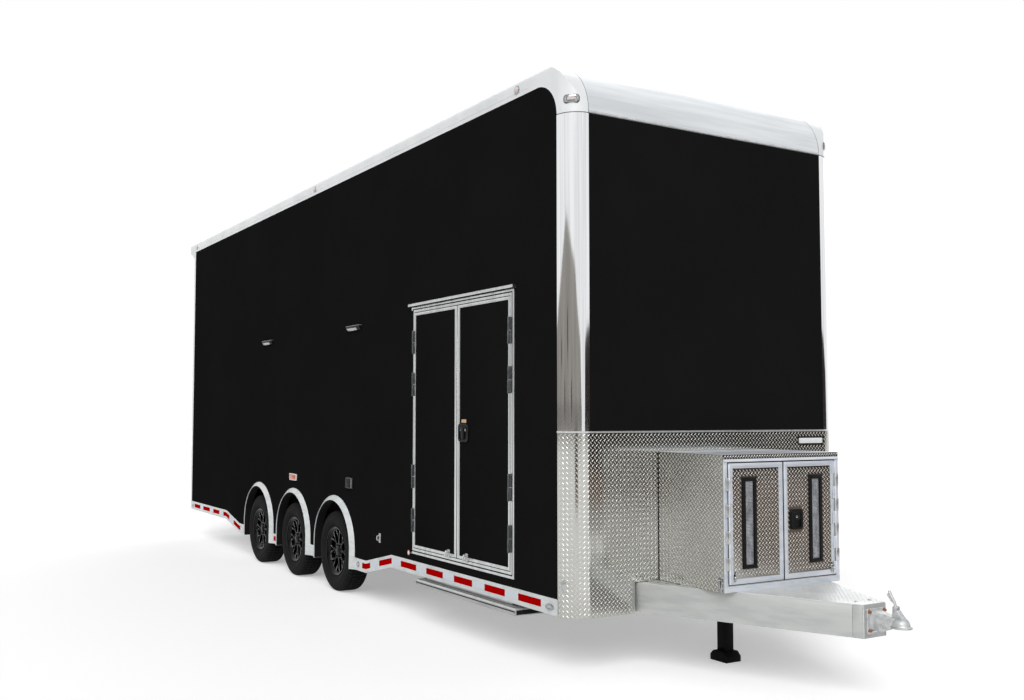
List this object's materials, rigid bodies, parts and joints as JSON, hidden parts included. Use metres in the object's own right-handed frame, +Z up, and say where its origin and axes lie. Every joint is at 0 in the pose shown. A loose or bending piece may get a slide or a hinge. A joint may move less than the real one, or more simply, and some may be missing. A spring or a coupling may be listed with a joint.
{
  "type": "stacker car trailer",
  "caption": "Tall enclosed car trailer on several axles with an A-frame tongue, tongue box, jack, double side door, pull-out step and rear ramp door.",
  "frame": {"origin": "on the ground at the centre of the footprint", "axes": "+X forward to the coupler, +Y to the trailer's left, +Z up"},
  "size_m": [10.94, 2.68, 4.198],
  "materials": {
    "black_skin": "satin black paint on aluminium sheet",
    "bright_trim": "polished",
    "white_trim": "white enamel",
    "tread_plate": "bright diamond tread plate",
    "mill_aluminium": "mill finish",
    "tyre_rubber": "moulded",
    "gloss_black": "gloss black",
    "black_paint": "semi-gloss black",
    "cast_zinc": "zinc plated",
    "lamp_lens": "red lens",
    "clear_lens": "clear lens in a bright housing",
    "axle_steel": "black enamel"
  },
  "bodies": {
    "body": {"axle_front": "axle_steel", "axle_middle": "axle_steel", "axle_rear": "axle_steel", "corner_cap_left": "white_trim", "corner_cap_right": "white_trim", "corner_post_left": "bright_trim", "corner_post_right": "bright_trim", "coupler": "cast_zinc", "drip_cap": "bright_trim", "floor_deck": "mill_aluminium", "front_cove": "bright_trim", "front_wall": "black_skin", "jack_mount": "black_paint", "main_rail_left": "mill_aluminium", "main_rail_right": "mill_aluminium", "power_inlet": "gloss_black", "rear_canopy": "white_trim", "rear_frame": "white_trim", "roof_panel": "white_trim", "roof_rail_left": "white_trim", "roof_rail_right": "white_trim", "scene_lamp_front": "clear_lens", "scene_lamp_rear": "clear_lens", "side_door_frame": "bright_trim", "skirt_left": "white_trim", "skirt_right": "white_trim", "step_carrier": "mill_aluminium", "stone_guard": "tread_plate", "tail_lamp_left": "lamp_lens", "tail_lamp_right": "lamp_lens", "tongue_beam_left": "mill_aluminium", "tongue_beam_right": "mill_aluminium", "tongue_box": "tread_plate", "tongue_deck": "white_trim", "tongue_nose": "mill_aluminium", "wall_left": "black_skin", "wall_right": "black_skin", "wheel_box_left": "black_paint", "wheel_box_right": "black_paint"},
    "wheel_front_right": {"tyre_front_right": "tyre_rubber", "rim_front_right": "gloss_black"},
    "wheel_front_left": {"tyre_front_left": "tyre_rubber", "rim_front_left": "gloss_black"},
    "wheel_middle_right": {"tyre_middle_right": "tyre_rubber", "rim_middle_right": "gloss_black"},
    "wheel_middle_left": {"tyre_middle_left": "tyre_rubber", "rim_middle_left": "gloss_black"},
    "wheel_rear_right": {"tyre_rear_right": "tyre_rubber", "rim_rear_right": "gloss_black"},
    "wheel_rear_left": {"tyre_rear_left": "tyre_rubber", "rim_rear_left": "gloss_black"},
    "side_door_front": {"side_door_front": "black_skin"},
    "side_door_rear": {"side_door_rear": "black_skin"},
    "box_door_right": {"box_door_right": "tread_plate"},
    "box_door_left": {"box_door_left": "tread_plate"},
    "ramp_door": {"ramp_door": "black_skin"},
    "jack_leg": {"jack_leg": "black_paint"},
    "step": {"step": "mill_aluminium"},
    "coupler_latch": {"coupler_latch": "cast_zinc"}
  },
  "joints": [
    {"name": "wheel_front_right_spin", "type": "hinge", "parent": "body", "child": "wheel_front_right", "pos_m": [-0.068, -1.1875, 0.391], "axis": [0, 1, 0], "continuous": true},
    {"name": "wheel_front_left_spin", "type": "hinge", "parent": "body", "child": "wheel_front_left", "pos_m": [-0.068, 1.1875, 0.391], "axis": [0, 1, 0], "continuous": true},
    {"name": "wheel_middle_right_spin", "type": "hinge", "parent": "body", "child": "wheel_middle_right", "pos_m": [-1.188, -1.1875, 0.391], "axis": [0, 1, 0], "continuous": true},
    {"name": "wheel_middle_left_spin", "type": "hinge", "parent": "body", "child": "wheel_middle_left", "pos_m": [-1.188, 1.1875, 0.391], "axis": [0, 1, 0], "continuous": true},
    {"name": "wheel_rear_right_spin", "type": "hinge", "parent": "body", "child": "wheel_rear_right", "pos_m": [-2.308, -1.1875, 0.391], "axis": [0, 1, 0], "continuous": true},
    {"name": "wheel_rear_left_spin", "type": "hinge", "parent": "body", "child": "wheel_rear_left", "pos_m": [-2.308, 1.1875, 0.391], "axis": [0, 1, 0], "continuous": true},
    {"name": "side_door_front_hinge", "type": "hinge", "parent": "body", "child": "side_door_front", "pos_m": [3.144, -1.318, 1.613], "axis": [0, 0, 1], "range_deg": [0, 175]},
    {"name": "side_door_rear_hinge", "type": "hinge", "parent": "body", "child": "side_door_rear", "pos_m": [1.631, -1.318, 1.613], "axis": [0, 0, -1], "range_deg": [0, 175]},
    {"name": "box_door_right_hinge", "type": "hinge", "parent": "body", "child": "box_door_right", "pos_m": [4.52, -0.502, 1.04185], "axis": [0, 0, -1], "range_deg": [0, 170]},
    {"name": "box_door_left_hinge", "type": "hinge", "parent": "body", "child": "box_door_left", "pos_m": [4.52, 0.502, 1.04185], "axis": [0, 0, 1], "range_deg": [0, 170]},
    {"name": "ramp_door_hinge", "type": "hinge", "parent": "body", "child": "ramp_door", "pos_m": [-5.288, 0, 0.581], "axis": [0, -1, 0], "range_deg": [0, 99]},
    {"name": "jack_slide", "type": "slide", "parent": "body", "child": "jack_leg", "axis": [0, 0, 1], "range_m": [0, 0.3]},
    {"name": "step_slide", "type": "slide", "parent": "body", "child": "step", "axis": [0, -1, 0], "range_m": [0, 0.24]},
    {"name": "coupler_latch_lift", "type": "hinge", "parent": "body", "child": "coupler_latch", "pos_m": [5.374, 0, 0.5973], "axis": [0, -1, 0], "range_deg": [0, 60]}
  ]
}
